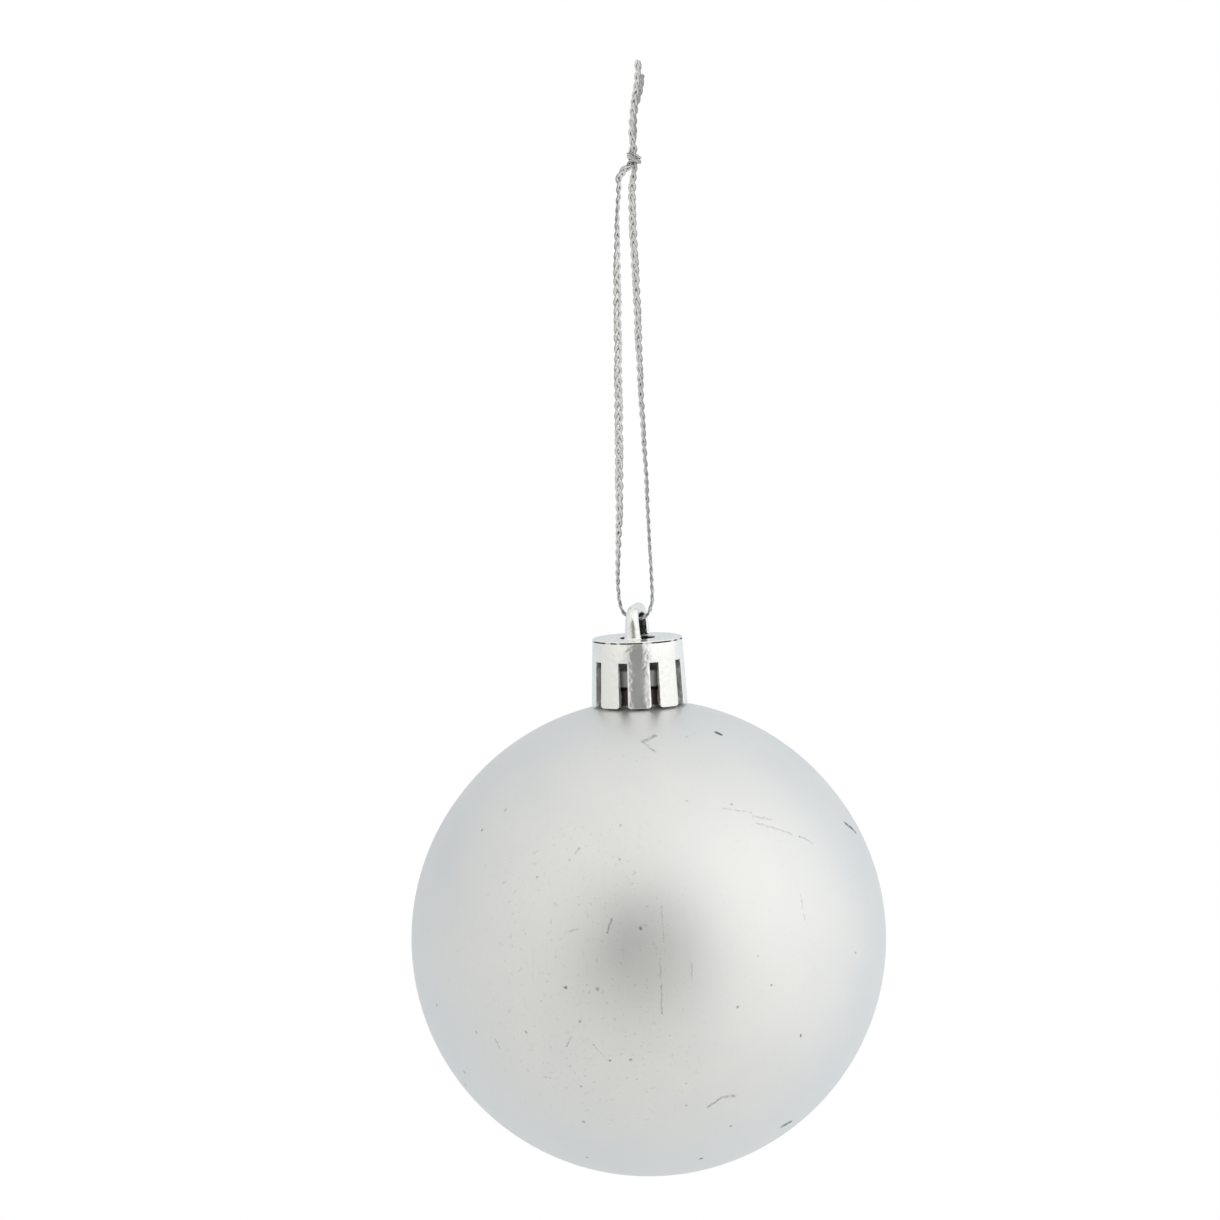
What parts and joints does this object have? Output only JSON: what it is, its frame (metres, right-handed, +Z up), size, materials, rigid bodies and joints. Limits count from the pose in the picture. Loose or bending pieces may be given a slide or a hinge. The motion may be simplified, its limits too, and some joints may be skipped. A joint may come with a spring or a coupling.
{
  "type": "glass ball ornament",
  "caption": "Satin silver ball ornament with a slotted push-fit crown cap and a knotted braided hanging cord.",
  "frame": {"origin": "the ball's lowest point, on the axis of the ball and its cap", "axes": "+Z up the axis from the ball to the cord's end; +X through the eye of the hanger arch, which is the way the cord passes; the arch stands in the YZ plane"},
  "size_m": [0.06, 0.06, 0.1417],
  "materials": {
    "satin_silver_glass": "opaque satin silver coating on glass",
    "plated_plastic": "bright silver plating on moulded plastic",
    "silver_braid": "metallic silver three-strand braid"
  },
  "bodies": {
    "cord_top": {"cord_knot": "silver_braid", "cord_tail_long": "silver_braid", "cord_tail_short": "silver_braid"},
    "cord_upper": {"cord_left_upper": "silver_braid", "cord_right_upper": "silver_braid"},
    "cord_lower": {"cord_left_lower": "silver_braid", "cord_right_lower": "silver_braid"},
    "cord_eye": {"cord_bight": "silver_braid"},
    "cap": {"cap_crown": "plated_plastic"},
    "ball": {"ball_shell": "satin_silver_glass"}
  },
  "joints": [
    {"name": "cord_swing", "type": "hinge", "parent": "cord_top", "child": "cord_upper", "pos_m": [0.00085, 0, 0.1274], "axis": [1, 0, 0], "range_deg": [-45, 45]},
    {"name": "cord_fold", "type": "hinge", "parent": "cord_upper", "child": "cord_lower", "pos_m": [0.00025, 0, 0.1], "axis": [1, 0, 0], "range_deg": [-90, 90]},
    {"name": "cord_tilt", "type": "hinge", "parent": "cord_lower", "child": "cord_eye", "pos_m": [0, 0, 0.075], "axis": [1, 0, 0], "range_deg": [-60, 60]},
    {"name": "cap_rock", "type": "hinge", "parent": "cord_eye", "child": "cap", "pos_m": [0, 0, 0.07197], "axis": [0, 1, 0], "range_deg": [-80, 80]},
    {"name": "ball_pull_off", "type": "slide", "parent": "cap", "child": "ball", "axis": [0, 0, -1], "range_m": [0, 0.012]}
  ]
}
